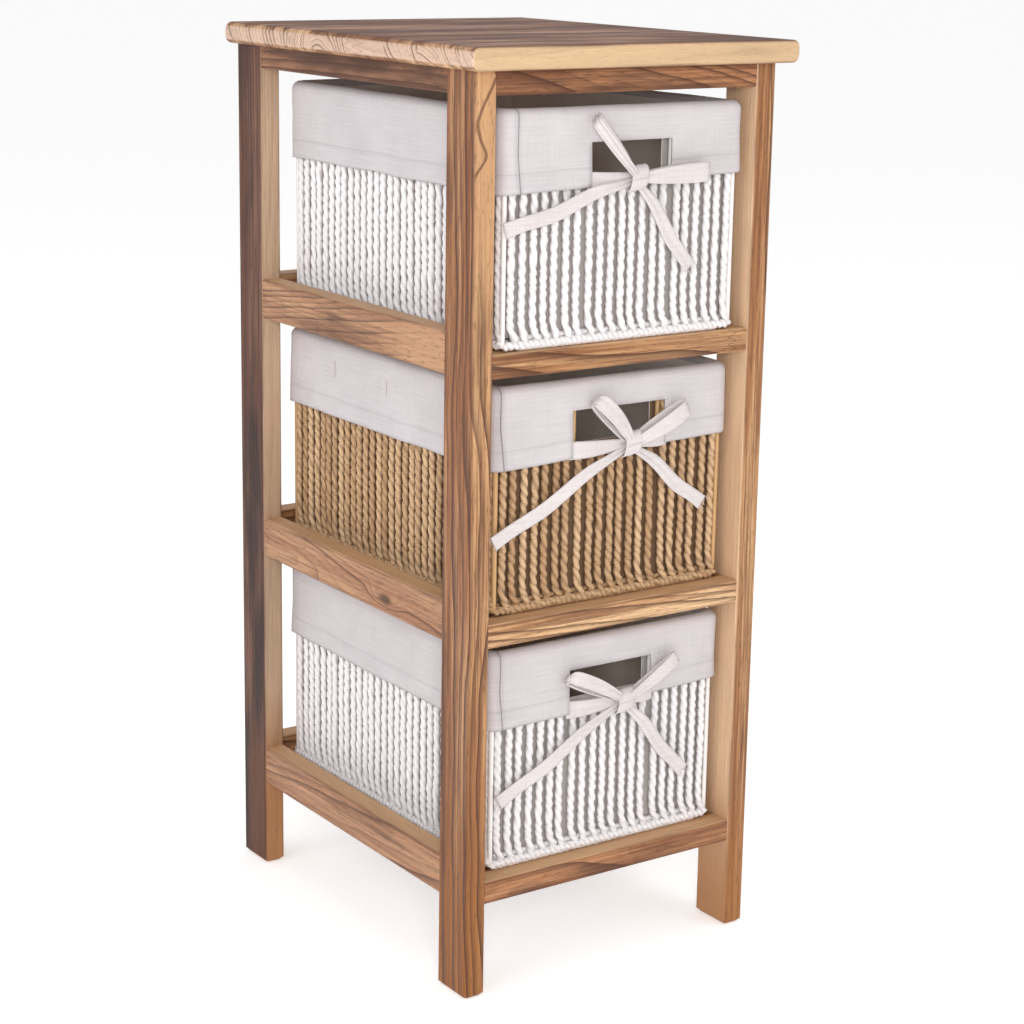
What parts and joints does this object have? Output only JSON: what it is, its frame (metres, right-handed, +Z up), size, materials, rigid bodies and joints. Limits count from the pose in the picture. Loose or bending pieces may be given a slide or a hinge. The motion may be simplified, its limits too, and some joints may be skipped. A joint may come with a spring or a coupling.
{
  "type": "wooden basket drawer unit",
  "caption": "Slim wooden stand with sliding rope baskets between its rails, each lined in cloth with a handle opening and a ribbon bow, under a flat tabletop.",
  "frame": {"origin": "on the floor under the middle of the tabletop", "axes": "+Z up, +X to the right seen from the front, baskets pull out towards -Y"},
  "size_m": [0.26, 0.32, 0.63],
  "materials": {
    "frame_wood": "torched, satin",
    "tabletop_wood": "torched, satin",
    "screw_steel": "zinc",
    "rope_white": "paper rope",
    "rope_natural": "paper rope",
    "wire_white": "matt",
    "wire_tan": "matt",
    "liner_cloth": "plain weave",
    "ribbon_cloth": "plain weave"
  },
  "bodies": {
    "frame": {"tabletop": "tabletop_wood", "leg_front_left": "frame_wood", "leg_front_right": "frame_wood", "leg_back_left": "frame_wood", "leg_back_right": "frame_wood", "front_rail_bottom": "frame_wood", "back_rail_bottom": "frame_wood", "left_rail_bottom": "frame_wood", "right_rail_bottom": "frame_wood", "front_rail_lower": "frame_wood", "back_rail_lower": "frame_wood", "left_rail_lower": "frame_wood", "right_rail_lower": "frame_wood", "front_rail_upper": "frame_wood", "back_rail_upper": "frame_wood", "left_rail_upper": "frame_wood", "right_rail_upper": "frame_wood", "front_rail_top": "frame_wood", "back_rail_top": "frame_wood", "left_rail_top": "frame_wood", "right_rail_top": "frame_wood", "left_runner_bottom": "frame_wood", "right_runner_bottom": "frame_wood", "left_runner_lower": "frame_wood", "right_runner_lower": "frame_wood", "left_runner_upper": "frame_wood", "right_runner_upper": "frame_wood", "tabletop_screws": "screw_steel"},
    "basket_top": {"top_basket_rope_front": "rope_white", "top_basket_rope_back": "rope_white", "top_basket_rope_sides": "rope_white", "top_basket_rope_floor": "rope_white", "top_basket_wire_frame": "wire_white", "top_basket_rim_rope": "rope_white", "top_basket_bottom_rope": "rope_white", "top_basket_liner": "liner_cloth", "top_basket_ribbon_bow": "ribbon_cloth"},
    "basket_middle": {"middle_basket_rope_front": "rope_natural", "middle_basket_rope_back": "rope_natural", "middle_basket_rope_sides": "rope_natural", "middle_basket_rope_floor": "rope_natural", "middle_basket_wire_frame": "wire_tan", "middle_basket_rim_rope": "rope_natural", "middle_basket_bottom_rope": "rope_natural", "middle_basket_liner": "liner_cloth", "middle_basket_ribbon_bow": "ribbon_cloth"},
    "basket_bottom": {"bottom_basket_rope_front": "rope_white", "bottom_basket_rope_back": "rope_white", "bottom_basket_rope_sides": "rope_white", "bottom_basket_rope_floor": "rope_white", "bottom_basket_wire_frame": "wire_white", "bottom_basket_rim_rope": "rope_white", "bottom_basket_bottom_rope": "rope_white", "bottom_basket_liner": "liner_cloth", "bottom_basket_ribbon_bow": "ribbon_cloth"}
  },
  "joints": [
    {"name": "top_basket_slide", "type": "slide", "parent": "frame", "child": "basket_top", "axis": [0, -1, 0], "range_m": [-0.016, 0.275]},
    {"name": "middle_basket_slide", "type": "slide", "parent": "frame", "child": "basket_middle", "axis": [0, -1, 0], "range_m": [-0.0065, 0.2845]},
    {"name": "bottom_basket_slide", "type": "slide", "parent": "frame", "child": "basket_bottom", "axis": [0, -1, 0], "range_m": [-0.0065, 0.2845]}
  ]
}
